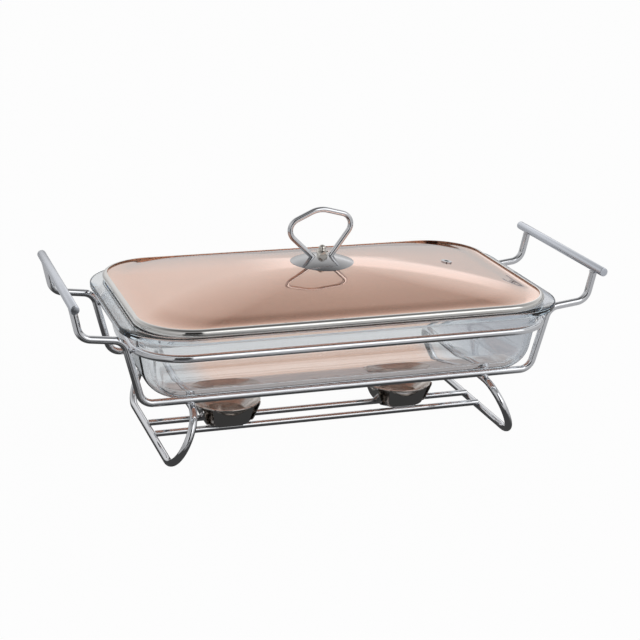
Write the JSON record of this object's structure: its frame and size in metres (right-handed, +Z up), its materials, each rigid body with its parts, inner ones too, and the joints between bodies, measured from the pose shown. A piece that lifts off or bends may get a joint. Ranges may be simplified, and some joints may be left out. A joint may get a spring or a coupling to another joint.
{
  "type": "glass chafing dish",
  "caption": "Rectangular glass chafing dish on a welded chrome wire stand with bar handles, a domed lift-off glass lid with a wire loop knob, and tealight burners on rails below.",
  "frame": {"origin": "on the table, under the middle of the stand", "axes": "+X along the dish towards the right handle bar, +Y towards the back, +Z up"},
  "size_m": [0.5078, 0.236, 0.2127],
  "materials": {
    "chrome": "bright chrome plate",
    "satin_steel": "satin steel bar",
    "burner_steel": "rolled steel sheet, dulled",
    "clear_glass": "clear pressed glass",
    "copper_glass": "copper tinted, mirror bright glass",
    "gasket_rubber": "black silicone"
  },
  "bodies": {
    "stand": {"front_side_wire": "chrome", "back_side_wire": "chrome", "dish_ring": "chrome", "left_leg": "chrome", "right_leg": "chrome", "front_rail": "chrome", "back_rail": "chrome", "left_handle_bar": "satin_steel", "right_handle_bar": "satin_steel"},
    "dish": {"glass_dish": "clear_glass"},
    "lid": {"lid_glass": "copper_glass", "lid_band": "chrome", "vent_eyelet": "chrome", "knob_gasket": "gasket_rubber", "knob_plate": "chrome", "knob_loop": "chrome", "knob_cap_nut": "chrome", "knob_screw": "chrome", "knob_washer": "chrome", "knob_lower_gasket": "gasket_rubber"},
    "left_holder": {"left_bracket": "burner_steel"},
    "right_holder": {"right_bracket": "burner_steel"},
    "left_tealight_pan": {"left_pan": "burner_steel"},
    "right_tealight_pan": {"right_pan": "burner_steel"}
  },
  "joints": [
    {"name": "dish_lift", "type": "slide", "parent": "stand", "child": "dish", "axis": [0, 0, 1], "range_m": [0, 0.12]},
    {"name": "lid_lift", "type": "slide", "parent": "dish", "child": "lid", "axis": [0, 0, 1], "range_m": [0, 0.1]},
    {"name": "left_holder_slide", "type": "slide", "parent": "stand", "child": "left_holder", "axis": [1, 0, 0], "range_m": [-0.01, 0.05]},
    {"name": "right_holder_slide", "type": "slide", "parent": "stand", "child": "right_holder", "axis": [1, 0, 0], "range_m": [-0.05, 0.015]},
    {"name": "left_pan_lift", "type": "slide", "parent": "left_holder", "child": "left_tealight_pan", "axis": [0, 0, 1], "range_m": [0, 0.02]},
    {"name": "right_pan_lift", "type": "slide", "parent": "right_holder", "child": "right_tealight_pan", "axis": [0, 0, 1], "range_m": [0, 0.02]}
  ]
}
